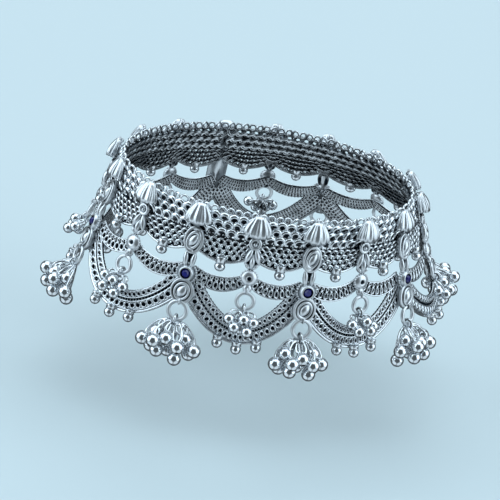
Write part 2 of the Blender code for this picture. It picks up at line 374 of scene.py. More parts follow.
def oxidisedSilver(finish):
    # silver dipped to blacken it and bright on what stands out. Its black is oxide in hollows and painted
    # shade on backs, undersides and behind openwork.
    # Wire is drawn smooth, cast pieces come out of the tumbler satin, bells are spun and buffed to a mirror
    rough, handMarks, dentDepth = silverLook[finish]
    material, tree, shader = newMaterial(f"oxidised silver {finish}")
    coords = addNode(tree, "ShaderNodeTexCoord")
    oxideAndShadeLevel = addNode(tree, "ShaderNodeAttribute", {"attribute_name": "oxideAndShade"})
    cloud = addNode(tree, "ShaderNodeTexNoise", Vector=coords.outputs["Object"],
                    Scale=1 / (silverLook["cloud"] * mm), Detail=4.0)
    wear = addNode(tree, "ShaderNodeMath", {"operation": "MULTIPLY_ADD"}, in0=cloud.outputs["Fac"],
                   in1=silverLook["wear"], in2=-silverLook["wear"] / 2)
    oxideShadeTotal = addNode(tree, "ShaderNodeMath", {"operation": "ADD", "use_clamp": True},
                        in0=oxideAndShadeLevel.outputs["Fac"], in1=wear.outputs[0])
    showsFrom, showsTo = silverLook["edge"]
    black = addNode(tree, "ShaderNodeMapRange", {"interpolation_type": "SMOOTHSTEP"},
                    Value=oxideShadeTotal.outputs[0], From_Min=showsFrom, From_Max=showsTo)
    tone = addNode(tree, "ShaderNodeMix", {"data_type": "RGBA"}, Factor=cloud.outputs["Fac"],
                   A=linear(silverLook["bright"]), B=linear(silverLook["warm"]))
    colour = addNode(tree, "ShaderNodeMix", {"data_type": "RGBA"}, Factor=black.outputs[0],
                     A=tone.outputs["Result"], B=linear(silverLook["oxideAndShadeColour"]))
    dull = addNode(tree, "ShaderNodeMapRange", Value=black.outputs[0],
                   To_Min=rough, To_Max=silverLook["blackRough"])
    dents = addNode(tree, "ShaderNodeTexNoise", Vector=coords.outputs["Object"],
                    Scale=1 / (handMarks * mm), Detail=2.0)
    bump = addNode(tree, "ShaderNodeBump", Height=dents.outputs["Fac"],
                   Strength=silverLook["dentStrength"], Distance=dentDepth * mm)
    shader.inputs["Metallic"].default_value = 1.0
    tree.links.new(colour.outputs["Result"], shader.inputs["Base Color"])
    tree.links.new(dull.outputs[0], shader.inputs["Roughness"])
    tree.links.new(bump.outputs[0], shader.inputs["Normal"])
    return material


stoneLook = {"deep": "#0c0b33", "pale": "#2c2f86", "cloud": 1.2, "rough": 0.04, "ior": 1.55}


def blueGlass():
    # pressed and fire-polished glass: deep violet-blue, with a pale bloom where light gathers in it
    material, tree, shader = newMaterial("blue glass stone")
    coords = addNode(tree, "ShaderNodeTexCoord")
    bloom = addNode(tree, "ShaderNodeTexNoise", Vector=coords.outputs["Object"],
                    Scale=1 / (stoneLook["cloud"] * mm))
    colour = addNode(tree, "ShaderNodeMix", {"data_type": "RGBA"}, Factor=bloom.outputs["Fac"],
                     A=linear(stoneLook["deep"]), B=linear(stoneLook["pale"]))
    tree.links.new(colour.outputs["Result"], shader.inputs["Base Color"])
    shader.inputs["Roughness"].default_value = stoneLook["rough"]
    shader.inputs["IOR"].default_value = stoneLook["ior"]
    return material


wireSilver, castSilver, bellSilver = (oxidisedSilver(finish) for finish in ("wire", "cast", "bell"))
glass = blueGlass()
finished = []
print("silver and glass ready")


def finishPiece(obj, material, slot, *nodes):
    finished.append(obj)
    obj.data.materials.clear()
    obj.data.materials.append(material)
    obj.data.shade_smooth()
    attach(obj, "root")
    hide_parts(*nodes)
    return obj


# the ring-mesh band: a knotted edge, coarse rows, fine rows, and a hem that hangs low between the stems
net = {
    "panels": 4, "panelStations": 4,
    "edgeRing": (1.0, 0.33), "edgePerPitch": 7, "edgeDrop": 1.0, "edgeTilts": (0.25, 0.4),
    "coarseRing": (1.22, 0.67), "coarsePerPitch": 6, "coarseLoose": 0.2,
    "coarseRows": 3, "coarseDrop": 2.9, "coarseRowPitch": 2.05, "coarseBackDrop": 0.9,
    "fineRing": (0.95, 0.33), "finePerPitch": 8, "fineRows": 4, "fineDrop": 9.5, "fineMargin": 1.5,
    "hemWire": 0.36, "hemRise": 0.3, "hemLift": 0.75, "hemEnd": 0.2, "hemCuts": 120,
    "frontLift": 0.85, "backLift": 0.35, "lean": 0.4, "loose": 0.06,
    "midHeight": 15.4, "stemHeight": 12.6,
    "beadRadius": 1.4, "beadNeck": 1.2, "beadDrop": 16.3,
}


def netHeight(station):
    return net["stemHeight"] + (net["midHeight"] - net["stemHeight"]) * (1 - (2 * (station % 1) - 1) ** 2)


def coarseDropAt(row, station):
    return net["coarseDrop"] + row * net["coarseRowPitch"]


def fineDropAt(row, station):
    # the fine rows spread out where the hem hangs low
    share = row / (net["fineRows"] - 1)
    return net["fineDrop"] + share * (netHeight(station) - net["fineMargin"] - net["fineDrop"])


def netRow(dropAt, perPitch, shift, lift, lean, loose):
    places = []
    for step in range(perPitch * net["panelStations"]):
        station = (step + 0.5 + shift) / perPitch
        if station < net["panelStations"] - 0.02:
            places.append(place(station * pitch, -dropAt(station), lift,
                                tiltX=lean + chance.uniform(-loose, loose),
                                tiltY=chance.uniform(-loose, loose)))
    return places


def netRows(dropAt, count, perPitch, loose, backDrop):
    # the rows in front, each half a ring on from the last, and the rows behind, painted black as the shade
    # that shows through them
    front, back = [], []
    for row in range(count):
        shift = 0.5 * (row % 2)
        front += netRow(lambda station: dropAt(row, station), perPitch, shift,
                        net["frontLift"], net["lean"], loose)
        back += netRow(lambda station: dropAt(row, station) + backDrop, perPitch, shift + 0.5,
                       net["backLift"], -net["lean"], net["loose"])
    return front, back


def makeNet():
    edgeLink, coarseLink, fineLink = (ring(*net[key]) for key in ("edgeRing", "coarseRing", "fineRing"))
    # the back rows are painted black: painted shade seen through the holes of the net
    darkCoarse = paintedShadeRing(*net["coarseRing"], sides=10, depth=0.8)
    darkFine = paintedShadeRing(*net["fineRing"])
    bead = dropBead(net["beadRadius"], net["beadNeck"])
    tiltX, tiltY = net["edgeTilts"]
    edge = [place((step + 0.5) / net["edgePerPitch"] * pitch, -net["edgeDrop"], net["frontLift"],
                  tiltX=tiltX, tiltY=(-tiltY, tiltY)[step % 2])
            for step in range(net["edgePerPitch"] * net["panelStations"])]
    beads = [place((step + 0.5) * pitch, -net["beadDrop"] + net["beadNeck"] + net["beadRadius"],
                   net["beadRadius"]) for step in range(net["panelStations"])]
    for number in range(1, net["panels"] + 1):
        start = ankle["claspStation"] + (number - 1) * net["panelStations"]
        coarseFront, coarseBack = netRows(coarseDropAt, net["coarseRows"], net["coarsePerPitch"],
                                          net["coarseLoose"], net["coarseBackDrop"])
        fineFront, fineBack = netRows(fineDropAt, net["fineRows"], net["finePerPitch"], net["loose"], 0.0)
        hem = smoothCord(net["hemEnd"], net["panelStations"] * pitch - net["hemEnd"], net["hemRise"],
                         net["hemLift"], net["hemWire"], net["hemCuts"])
        co = points(hem)
        co[:, 1] -= netHeight(co[:, 0] / pitch)
        movePoints(hem, co)
        parts = [layOut("edge", edgeLink, edge),
                 layOut("coarse", coarseLink, coarseFront), layOut("coarseBack", darkCoarse, coarseBack),
                 layOut("fine", fineLink, fineFront), layOut("fineBack", darkFine, fineBack),
                 hem, layOut("beads", bead, beads)]
        panel = joined(f"ringMesh_{number}", parts)
        co = points(panel)
        movePoints(panel, skin(start + co[:, 0] / pitch, -co[:, 1], co[:, 2]) * mm)
        finishPiece(panel, wireSilver, "silver", f"chain_net_{number}")
    discard(edgeLink, coarseLink, fineLink, darkCoarse, darkFine, bead)


makeNet()
print("ring mesh laid")


# the swags: a wide one from each tall stem to the next, and a slim one in two bows above it
wide = {
    "drop": 21.0, "sag": 13.6, "inset": 0.075, "width": 5.8,
    # how far above the middle line of the strip each row lies
    "innerRow": 2.07, "innerRing": (0.68, 0.25), "innerPitch": 1.66,
    "outerRow": -1.0, "outerRing": (0.84, 0.29), "outerPitch": 1.66, "outerShape": (0.86, 1.08, 1.0),
    # the dark rows are black rings as painted shade seen between the bright rows
    "darkRows": (1.7, 2.4, 0.62, -0.6, -1.4), "darkRing": (0.62, 0.34), "darkPitch": 0.95,
    "cords": (2.98, 1.15, 0.12, -2.05), "cordWire": 0.25, "rimRow": -2.72, "rimWire": 0.42,
    "rowLift": 0.85, "rowTilt": 0.25, "darkLift": 0.3, "cordLift": 0.75, "rimLift": 0.65,
    # row, and the share of the way at which it starts, so that the end runs in under the stem
    "starts": ((-2.9, 0.075), (-2.0, 0.057), (-1.0, 0.033), (0.1, 0.01),
               (1.2, 0.023), (2.1, 0.051), (3.0, 0.075)),
    "beadShares": (0.37, 0.5, 0.63), "beadRadius": 1.5, "beadNeck": 0.5, "beadSink": 0.6,
}
slim = {
    "drop": 18.4, "sag": 3.1, "inset": 0.035, "endWidth": 2.4, "width": 3.8,
    "linkRow": -0.45, "link": (0.8, 0.27), "linkPitch": 1.66, "linkShape": (0.76, 1.36, 1.0),
    "dotRow": 1.3, "dotRing": (0.48, 0.2), "dotPitch": 1.66,
    # the dark rows are black rings as painted shade seen between the bright rows
    "darkRows": (-1.1, 0.1, 1.2), "darkRing": (0.6, 0.32), "darkPitch": 0.9,
    "cords": (2.02, -1.9), "cordWire": 0.24,
    "rowLift": 0.8, "linkTilt": 0.3, "darkLift": 0.3, "cordLift": 0.75,
}


def wideDrop(share):
    return wide["drop"] + wide["sag"] * (1 - (2 * share - 1) ** 2)


def slimBow(share):
    return 1 - (4 * (share % 0.5) - 1) ** 2


def slimDrop(share):
    return slim["drop"] + slim["sag"] * slimBow(share)


def slimWidth(share):
    # the strip is full in the middle of each bow and narrow at the stems
    return (slim["endWidth"] + (slim["width"] - slim["endWidth"]) * slimBow(share)) / slim["width"]


def alongSwag(start, share, across, lift, dropAt):
    # points of a strip, given how far along it they lie and how far above its middle line
    station, drop, nudge = start + 2 * share, dropAt(share), 0.01
    length = np.linalg.norm(skin(station + 0.5, drop) - skin(station - 0.5, drop), axis=1)
    fall = (dropAt(share + nudge) - dropAt(share - nudge)) / (2 * nudge * 2 * length)
    across = across / np.sqrt(1 + fall**2)
    return skin(station + across * fall / length, drop - across, lift) * mm


def swagLength(dropAt, inset):
    shares = np.linspace(inset, 1 - inset, 200)
    level = np.zeros(len(shares))
    route = alongSwag(2, shares, level, level, dropAt) / mm
    return np.linalg.norm(np.diff(route, axis=0), axis=1).sum()


def bend(strip, start, inset, dropAt, length, widthAt=None):
    # a flat strip's X runs along the swag, and past 0 and its length it goes in under the stems
    co = points(strip)
    share = inset + co[:, 0] / length * (1 - 2 * inset)
    across = co[:, 1] * (widthAt(share) if widthAt else 1)
    return movePoints(strip, alongSwag(start, share, across, co[:, 2], dropAt))


def spaced(length, step, early=0.0):
    full = length + 2 * early
    count = max(2, round(full / step))
    return [(i + 0.5) * full / count - early for i in range(count)]


def hangUnder(start, share):
    # where a drop bead hangs from the rim of a wide swag
    low = -wide["width"] / 2 + wide["beadSink"]
    centre = alongSwag(start, np.array([share]), np.array([low]), np.array([wide["beadRadius"]]), wideDrop)[0]
    _, up, out = skinAxes(start + 2 * share)
    return Matrix.Translation(centre) @ facing(Vector(up[0]), Vector(out[0])) @ Matrix.Scale(mm, 4)


def makeWideSwags():
    length = swagLength(wideDrop, wide["inset"])
    innerLink, outerLink = (ring(*wide[key], sides=10) for key in ("innerRing", "outerRing"))
    outerLink.scale = wide["outerShape"]
    settle(outerLink)
    darkLink = paintedShadeRing(*wide["darkRing"])
    bead = dropBead(wide["beadRadius"], wide["beadNeck"])
    rows, shares = zip(*wide["starts"])

    def early(y):
        return (wide["inset"] - np.interp(y, rows, shares)) / (1 - 2 * wide["inset"]) * length

    def row(y, lift, step, tilt=0.0):
        return [place(x, y, lift, tiltY=tilt) for x in spaced(length, step, early(y))]

    def cord(y, lift, wire):
        return smoothCord(-early(y), length + early(y), y, lift, wire)

    inner = row(wide["innerRow"], wide["rowLift"], wide["innerPitch"], wide["rowTilt"])
    outer = row(wide["outerRow"], wide["rowLift"], wide["outerPitch"], wide["rowTilt"])
    dark = [spot for y in wide["darkRows"] for spot in row(y, wide["darkLift"], wide["darkPitch"])]
    for number, start in swagStarts.items():
        parts = [layOut("inner", innerLink, inner), layOut("outer", outerLink, outer),
                 layOut("dark", darkLink, dark), cord(wide["rimRow"], wide["rimLift"], wide["rimWire"])]
        parts += [cord(y, wide["cordLift"], wide["cordWire"]) for y in wide["cords"]]
        strip = bend(joined("strip", parts), start, wide["inset"], wideDrop, length)
        hung = [hangUnder(start, share) for share in wide["beadShares"]]
        swag = joined(f"wideChain_{number}", [strip, layOut("drops", bead, hung)])
        finishPiece(swag, wireSilver, "silver", f"wide_swag_{number}")
    discard(innerLink, outerLink, darkLink, bead)


def makeSlimSwags():
    length = swagLength(slimDrop, slim["inset"])
    link, dot = ring(*slim["link"], sides=12, around=6), ring(*slim["dotRing"], sides=8, around=5)
    link.scale = slim["linkShape"]
    settle(link)
    darkLink = paintedShadeRing(*slim["darkRing"])
    bars = [place(x, slim["linkRow"], slim["rowLift"], tiltY=slim["linkTilt"])
            for x in spaced(length, slim["linkPitch"])]
    dots = [place(x, slim["dotRow"], slim["rowLift"]) for x in spaced(length, slim["dotPitch"])]
    dark = [place(x, y, slim["darkLift"])
            for y in slim["darkRows"] for x in spaced(length, slim["darkPitch"])]
    for number, start in swagStarts.items():
        parts = [layOut("bars", link, bars), layOut("dots", dot, dots), layOut("dark", darkLink, dark)]
        parts += [smoothCord(0, length, y, slim["cordLift"], slim["cordWire"]) for y in slim["cords"]]
        strip = joined(f"slimChain_{number}", parts)
        bend(strip, start, slim["inset"], slimDrop, length, slimWidth)
        finishPiece(strip, wireSilver, "silver", f"slim_swag_{number}")
    discard(link, dot, darkLink)


makeWideSwags()
makeSlimSwags()
print("swags laid")


# the stems lie flat on the bench, with the top edge at y = 0 and the skin at z = 0
crown = {
    "height": 6.0, "halfWidth": 3.9, "halfThick": 1.75, "neck": 0.36, "sag": 1.0,
    "flutes": 11, "groove": 0.16, "bulge": (0.22, 0.45),
    "mouthRim": 0.12, "mouthStep": 0.2, "mouthDepth": 0.25, "loop": (0.3, 0.55, 0.2), "loopLift": 1.0,
}
boss = {
    "thick": 1.2, "rounding": 0.3, "rim": 0.7, "step": 0.12, "sink": 0.35, "tilt": -28,
    "wire": 0.36, "wireShares": (0.68, 0.72), "wireTurn": 0.6, "wireRise": 0.02,
    "leafShares": (0.42, 0.6), "leafThick": 1.0, "leafSink": 0.15,
}
collet = {
    "foot": 2.85, "top": 1.8, "height": 1.7, "bevel": 0.15, "rim": 0.25, "step": 0.1, "depth": 0.7,
    "seat": 1.5, "granules": (5.6, 5.6, 0.33, 24), "granuleLift": 0.4,
}
# the dome's rim, step, depth and hole are shares of its size
dome = {"rim": 0.05, "step": 0.04, "depth": 0.45, "hole": 0.36, "lift": 0.2}
sheet = {"thick": 0.3, "lift": 0.2}
tallStem = {
    # oval and leaf: drop, width, height
    # posts, and a short stem's legs and barbs: how far aside, degrees askew, drop, lift, length, width, thick
    "oval": (10.7, 5.6, 7.8), "posts": (1.05, -5, 16.3, 0.5, 5.6, 1.55, 0.85), "postSheet": (16.3, 5.6, 1.9),
    "collet": 20.2, "leaf": (25.4, 6.8, 7.4), "ring": (31.0, 2.6, 0.55), "eye": (0.8, 0.28),
}
shortStem = {
    "arch": (8.0, 1.35, 0.5), "archLift": 0.7, "knob": (8.2, 0.8, 0.62),
    "legs": (1.2, 20, 11.6, 0.6, 5.2, 1.7, 1.0), "barbs": (1.1, -38, 14.5, 0.3, 2.6, 1.1, 0.9),
    "spine": (13.2, 0.45, 4.8, 1.7, 1.25), "sheet": (12.6, 7.0, 4.2),
    "dome": (17.9, 4.6, 4.5, 1.2), "domeGranules": (0.3, 20), "granuleLift": 0.35,
    "tongue": (20.9, -0.55, 3.0, 2.6, 0.8), "eye": (21.4, 0.75, 0.32), "ring": (24.4, 2.35, 0.52),
}
stoneCut = {"radius": 1.2, "table": 0.6, "crown": 0.65, "girdle": 0.25, "bevel": 0.06, "lift": 1.8}
stemBack = ankle["stemLift"]
ringLift = stemBack + 0.9


def flutedCrown():
    obj = primitive("cone", vertices=6 * crown["flutes"], radius1=1, radius2=crown["neck"], depth=1)
    editWith(obj, "EDGE", lambda edge: span(edge, 2) > 0.5)
    bpy.ops.mesh.subdivide(number_cuts=5)
    leaveEdit()
    editWith(obj, "FACE", lambda face: len(face.verts) > 6 and face.calc_center_median().z < 0)
    bpy.ops.mesh.inset(thickness=crown["mouthRim"])
    bpy.ops.mesh.inset(thickness=crown["mouthStep"], depth=-crown["mouthDepth"])
    leaveEdit()
    co = points(obj)
    down = np.clip(0.5 - co[:, 2], 0, 1)
    angle = np.arctan2(co[:, 1], co[:, 0]) + pi / 2 + pi / crown["flutes"]
    lobe = 0.5 - 0.5 * np.cos(crown["flutes"] * angle)
    inner = np.hypot(co[:, 0], co[:, 1]) < crown["neck"] + (1 - crown["neck"]) * down - 0.05
    fluted = 1 - crown["groove"] * (1 - lobe) * np.clip(4 * down, 0.4, 1)
    wider, thicker = (1 + bulge * np.sin(pi * down) for bulge in crown["bulge"])
    sag = crown["sag"] * down**2 * (1 - np.clip(np.abs(co[:, 0]), 0, 1) ** 2)
    x, z = co[:, 0] * fluted * wider * crown["halfWidth"], -co[:, 1] * fluted * thicker * crown["halfThick"]
    y = (co[:, 2] - 0.5) * (crown["height"] - crown["sag"]) - sag
    movePoints(obj, np.column_stack([x, y, stemBack + crown["halfThick"] + z]))
    # the flute grooves are darker as oxide, the half towards the skin darker as painted shade, and the inside
    # of the mouth near black as oxide
    oxideAndShadeLevel = 0.3 * (1 - lobe) ** 4 + 0.4 * np.clip(-z / crown["halfThick"], 0, 1)
    return oxideAndShade(obj, np.where(inner, 0.9, oxideAndShadeLevel))


def ovalWire(width, height, wire, lift):
    obj = ring(width / 2 - wire, wire, 24, 8)
    obj.scale = (1, (height - 2 * wire) / (width - 2 * wire), 1)
    obj.location = (0, 0, lift)
    return settle(obj)


def dish(drop, width, height, thick):
    # an oval plate with a rounded rim round a sunk, blackened floor
    obj = primitive("cylinder", vertices=28, radius=0.5, depth=thick, location=(0, 0, thick / 2))
    settle(obj)
    obj.scale = (width, height, 1)
    settle(obj)
    editWith(obj, "EDGE", lambda edge: lowest(edge) > thick * 0.9)
    bpy.ops.mesh.bevel(offset=boss["rounding"], segments=3)
    leaveEdit()
    editWith(obj, "FACE", isTopFace)
    bpy.ops.mesh.inset(thickness=boss["rim"])
    bpy.ops.mesh.inset(thickness=boss["step"], depth=-boss["sink"])
    leaveEdit()
    co = points(obj)
    middle = np.hypot(co[:, 0] / width, co[:, 1] / height) < 0.5 - 1.1 * boss["rim"] / width
    floor = middle & (co[:, 2] > thick * 0.2)
    # the sunk floor is black as oxide; the low sides near the skin are darker as painted shade
    oxideAndShade(obj, np.where(floor, 0.95, 0.4 * np.clip(0.4 - co[:, 2], 0, 1)))
    obj.location = (0, -drop, stemBack)
    return settle(obj)


def marquise(x, drop, lift, length, width, thick, tilt=0.0):
    # a leaf: pointed at both ends, with a soft ridge
    obj = primitive("uv_sphere", segments=14, ring_count=10, radius=1, rotation=(pi / 2, 0, 0))
    settle(obj)
    co = points(obj)
    taper = np.sqrt(np.clip(1 - co[:, 1] ** 2, 0, 1))
    co[:, 0] *= taper * width / 2
    co[:, 2] *= taper * thick
    co[:, 1] *= length / 2
    movePoints(obj, co)
    # darker underneath, towards the skin, as painted shade
    oxideAndShade(obj, 0.8 * np.clip(0.15 - co[:, 2] / thick, 0, 1))
    obj.location = (x, -drop, lift)
    obj.rotation_euler = (0, 0, tilt)
    return settle(obj)


def leafPair(aside, askew, drop, lift, length, width, thick):
    # the same leaf on both sides of a stem
    return [marquise(side * aside, drop, stemBack + lift, length, width, thick, side * radians(askew))
            for side in (-1, 1)]


def backing(drop, length, width):
    # the sheet soldered behind an openwork part: painted black in front as the shade seen through the
    # openwork, less dark behind
    obj = marquise(0, drop, 0, length, width, sheet["thick"])
    oxideAndShade(obj, np.where(points(obj)[:, 2] > -0.1, 1.0, 0.35))
    obj.location = (0, 0, stemBack + sheet["lift"])
    return settle(obj)


def granule(x, drop, lift, radius, segments=10):
    obj = primitive("uv_sphere", segments=segments, ring_count=segments * 3 // 4, radius=radius,
                    location=(x, -drop, lift))
    return settle(obj)


def granuleRing(drop, width, height, radius, count, lift):
    bead = granule(0, 0, 0, radius, 8)
    angles = [2 * pi * i / count for i in range(count)]
    spots = [place(width / 2 * cos(angle), -drop + height / 2 * sin(angle), lift) for angle in angles]
    row = layOut("granules", bead, spots)
    discard(bead)
    return row


def leafBoss(drop, width, height):
    # an oval dish, an oval wire in it, and a leaf lying askew inside
    tilt, face = radians(boss["tilt"]), stemBack + boss["thick"]
    plate = dish(drop, width, height, boss["thick"])
    wireWide, wireTall = boss["wireShares"]
    wire = ovalWire(width * wireWide, height * wireTall, boss["wire"], face + boss["wireRise"])
    wire.rotation_euler = (0, 0, tilt * boss["wireTurn"])
    wire.location = (0, -drop, 0)
    leafWide, leafLong = boss["leafShares"]
    leaf = marquise(0, drop, face - boss["leafSink"], height * leafLong, width * leafWide,
                    boss["leafThick"], tilt)
    return [plate, settle(wire), leaf]


def colletParts(drop):
    # a cone with a rounded lip and a blackened seat for the stone, in a ring of granules
    base = primitive("cone", vertices=28, radius1=collet["foot"], radius2=collet["top"],
                     depth=collet["height"], location=(0, -drop, stemBack + collet["height"] / 2))
    settle(base)
    editWith(base, "EDGE", lambda edge: lowest(edge) > stemBack + collet["height"] - 0.1)
    bpy.ops.mesh.bevel(offset=collet["bevel"], segments=3)
    leaveEdit()
    editWith(base, "FACE", isTopFace)
    bpy.ops.mesh.inset(thickness=collet["rim"])
    bpy.ops.mesh.inset(thickness=collet["step"], depth=-collet["depth"])
    leaveEdit()
    co = points(base)
    seat = (np.hypot(co[:, 0], co[:, 1] + drop) < collet["seat"]) & (co[:, 2] > stemBack + 0.3)
    oxideAndShade(base, np.where(seat, 0.95, 0.0))
    return [base, granuleRing(drop, *collet["granules"], stemBack + collet["granuleLift"])]


def piercedDome(drop, width, height, thick):
    obj = primitive("uv_sphere", segments=24, ring_count=14, radius=1)
    editWith(obj, "FACE", lambda face: face.calc_center_median().z > 0.9)
    bpy.ops.mesh.inset(thickness=dome["rim"])
    bpy.ops.mesh.inset(thickness=dome["step"], depth=-dome["depth"])
    leaveEdit()
    co = points(obj)
    # the pit on top is painted black as the shade inside a hole, and the underside darker as painted shade
    hole = (np.hypot(co[:, 0], co[:, 1]) < dome["hole"]) & (co[:, 2] < 0.9) & (co[:, 2] > 0)
    oxideAndShade(obj, np.where(hole, 1.0, 0.5 * np.clip(0.2 - co[:, 2], 0, 1)))
    obj.scale = (width / 2, height / 2, thick)
    obj.location = (0, -drop, stemBack + dome["lift"])
    return settle(obj)


def jumpRing(drop, mean, wire):
    obj = ring(mean, wire, 28, 10)
    oxideAndShade(obj, 0.5 * oxideAndShadeOf(obj))
    obj.location = (0, -drop, ringLift)
    return settle(obj)


def eyelet(drop, mean, wire, lift):
    # a ring that stands across the stem
    obj = ring(mean, wire, 16, 8)
    obj.rotation_euler = (0, pi / 2, 0)
    obj.location = (0, -drop, lift)
    return settle(obj)


def crownParts():
    return [flutedCrown(), eyelet(*crown["loop"], stemBack + crown["loopLift"])]


def tallStemParts():
    # crown, oval boss, a bridge of two posts, the collet, a leaf boss and the ring for the bells
    parts = [*crownParts(), *leafBoss(*tallStem["oval"])]
    parts += leafPair(*tallStem["posts"])
    parts.append(backing(*tallStem["postSheet"]))
    parts += colletParts(tallStem["collet"])
    parts += leafBoss(*tallStem["leaf"])
    parts.append(jumpRing(*tallStem["ring"]))
    drop, mean, _ = tallStem["ring"]
    parts.append(eyelet(drop - mean - 0.1, *tallStem["eye"], ringLift))
    return parts


def shortStemParts():
    # crown, a round arch, two legs spread over a ridged leaf, a pierced dome, and a tongue with the ring
    drop, mean, wire = shortStem["arch"]
    arch = ring(mean, wire, 20, 8)
    arch.location = (0, -drop, stemBack + shortStem["archLift"])
    drop, lift, radius = shortStem["knob"]
    parts = [*crownParts(), settle(arch), granule(0, drop, stemBack + lift, radius)]
    parts += leafPair(*shortStem["legs"])
    drop, lift, *size = shortStem["spine"]
    parts.append(marquise(0, drop, stemBack + lift, *size))
    parts += leafPair(*shortStem["barbs"])
    parts.append(backing(*shortStem["sheet"]))
    drop, width, height, _ = shortStem["dome"]
    parts.append(piercedDome(*shortStem["dome"]))
    granuleLift = stemBack + shortStem["granuleLift"]
    parts.append(granuleRing(drop, width, height, *shortStem["domeGranules"], granuleLift))
    drop, lift, *size = shortStem["tongue"]
    parts.append(marquise(0, drop, ringLift + lift, *size))
    parts.append(eyelet(*shortStem["eye"], ringLift))
    parts.append(jumpRing(*shortStem["ring"]))
    return parts


def setAlong(source, stations, pieceName, material, slot, nodeName):
    # a copy of source on the skin at each station
    pieces = []
    for number, station in stations.items():
        piece = copyTo(source, f"{pieceName}_{number}", stemFrame(station))
        pieces.append(finishPiece(piece, material, slot, f"{nodeName}_{number}"))
    discard(source)
    return pieces


def makeStems():
    tallOne, shortOne = joined("tallOne", tallStemParts()), joined("shortOne", shortStemParts())
    setAlong(tallOne, tallStations, "tallOrnament", castSilver, "silver", "tall_stem")
    setAlong(shortOne, shortStations, "shortOrnament", castSilver, "silver", "short_stem")


def makeStones():
    # a small cut stone: flat table, sloping crown, girdle just inside the collet
    cut = primitive("cone", vertices=8, radius1=stoneCut["radius"],
                    radius2=stoneCut["radius"] * stoneCut["table"], depth=stoneCut["crown"],
                    location=(0, -tallStem["collet"], stemBack + stoneCut["lift"]))
    settle(cut)
    editWith(cut, "FACE", lambda face: face.normal.z < -0.9)
    bpy.ops.mesh.extrude_region_move(TRANSFORM_OT_translate={"value": (0, 0, -stoneCut["girdle"])})
    leaveEdit()
    useModifier(cut, "BEVEL", width=stoneCut["bevel"], segments=2)
    for stone in setAlong(cut, tallStations, "blueStone", glass, "stone", "stone"):
        stone.data.shade_flat()


makeStems()
makeStones()
print("stems and stones set")


bells = {
    "radius": 1.95, "smallRadius": 1.6, "mouth": 0.965, "shoulder": 0.85, "collar": (0.55, 0.22),
    "wire": 0.38, "loop": 1.65, "loopTurn": 0.6, "loopFoot": 1.1, "loopTaper": 0.5,
    "tipSpread": 0.36, "link": (1.3, 0.38), "jitter": 0.5,
    # places: mm to the side of the jump ring, below it, and out from the skin
    "tall": ((-7.1, 9.3, 4.6), (7.1, 9.3, 4.6), (-2.7, 11.6, 6.2), (2.8, 12.1, 6.2), (-5.3, 11.9, 2.1),
             (5.3, 11.7, 2.1), (0.1, 11.2, 2.2), (-4.1, 6.9, 3.9), (4.1, 6.7, 3.9), (0.0, 7.5, 6.7),
             (-3.1, 8.3, 7.9), (3.3, 8.6, 7.8)),
    "small": ((-2.2, 7.0, 5.6), (1.7, 7.5, 5.9), (-3.6, 5.2, 4.0),
              (3.6, 5.6, 4.6), (0.2, 4.4, 5.2), (-0.2, 7.4, 3.1)),
}


def bellParts(tip, centre, radius):
    # a ghungroo: a ball with a dark mouth, a collar, and the long wire loop it hangs by
    towards = centre - tip
    reach = towards.length
    turned = Vector((0, -1, 0)).rotation_difference(towards.normalized()).to_matrix().to_4x4()
    ball = primitive("uv_sphere", segments=20, ring_count=14, radius=radius, rotation=(pi / 2, 0, 0))
    settle(ball)
    height = points(ball)[:, 1]
    # the bottom is painted black as the shade inside the bell's mouth, and the top under the collar is
    # painted darker
    oxideAndShade(ball, 0.95 * (height < -bells["mouth"] * radius) + 0.6 * (height > bells["shoulder"] * radius))
    ball.data.transform(Matrix.Translation((0, -reach, 0)))
    collar = ring(*bells["collar"], 12, 6)
    neck = Matrix.Translation((0, -reach + radius * 0.98, 0))
    collar.data.transform(neck @ Matrix.Rotation(pi / 2, 4, "X"))
    length = max(1.0, (reach - radius + 0.5) / 2)
    loop = ring(bells["loop"], bells["wire"], 16, 6)
    co = points(loop)
    up = np.clip((co[:, 1] / bells["loop"] + 1.2) / 2.4, 0, 1)
    co[:, 0] *= bells["loopFoot"] - bells["loopTaper"] * up
    co[:, 1] = co[:, 1] * length / bells["loop"] - length
    movePoints(loop, co)
    loop.data.transform(Matrix.Rotation(chance.uniform(-bells["loopTurn"], bells["loopTurn"]), 4, "Y"))
    for piece in (ball, collar, loop):
        piece.data.transform(Matrix.Translation(tip) @ turned)
    return [ball, collar, loop]


def bunch(name, spots, radius, drop, mean):
    # the bells hang side by side from one link, which hangs in the stem's jump ring
    eye = Vector((0, -drop - mean, ringLift))
    link = ring(*bells["link"], 18, 8)
    link.rotation_euler = (0, pi / 2, 0)
    link.location = eye
    parts = [settle(link)]
    for side, below, lift in spots:
        jitter = Vector([chance.uniform(-bells["jitter"], bells["jitter"]) for _ in range(3)])
        centre = Vector((side, -drop - below, lift)) + jitter
        tip = eye + Vector((bells["tipSpread"] * side, -bells["link"][0] + 0.5, 0.1 * (lift - 4)))
        parts += bellParts(tip, centre, radius)
    return joined(name, parts)


def hangBells(stations, stem, spots, radius, pieceName, nodeName):
    drop, mean, _ = stem["ring"]
    for number, station in stations.items():
        cluster = bunch(f"{pieceName}_{number}", spots, radius, drop, mean)
        cluster.data.transform(stemFrame(station))
        finishPiece(cluster, bellSilver, "silver", f"{nodeName}_{number}")


hangBells(tallStations, tallStem, bells["tall"], bells["radius"], "ghungrooBunch", "bell_bunch")
hangBells(shortStations, shortStem, bells["small"], bells["smallRadius"], "ghungrooSmall", "small_bunch")
print("bells hung")


# the fastening, hidden at the back
clasp = {"width": 6.0, "height": 27.6, "thick": 1.8, "rounding": 2.2, "edge": 0.45}


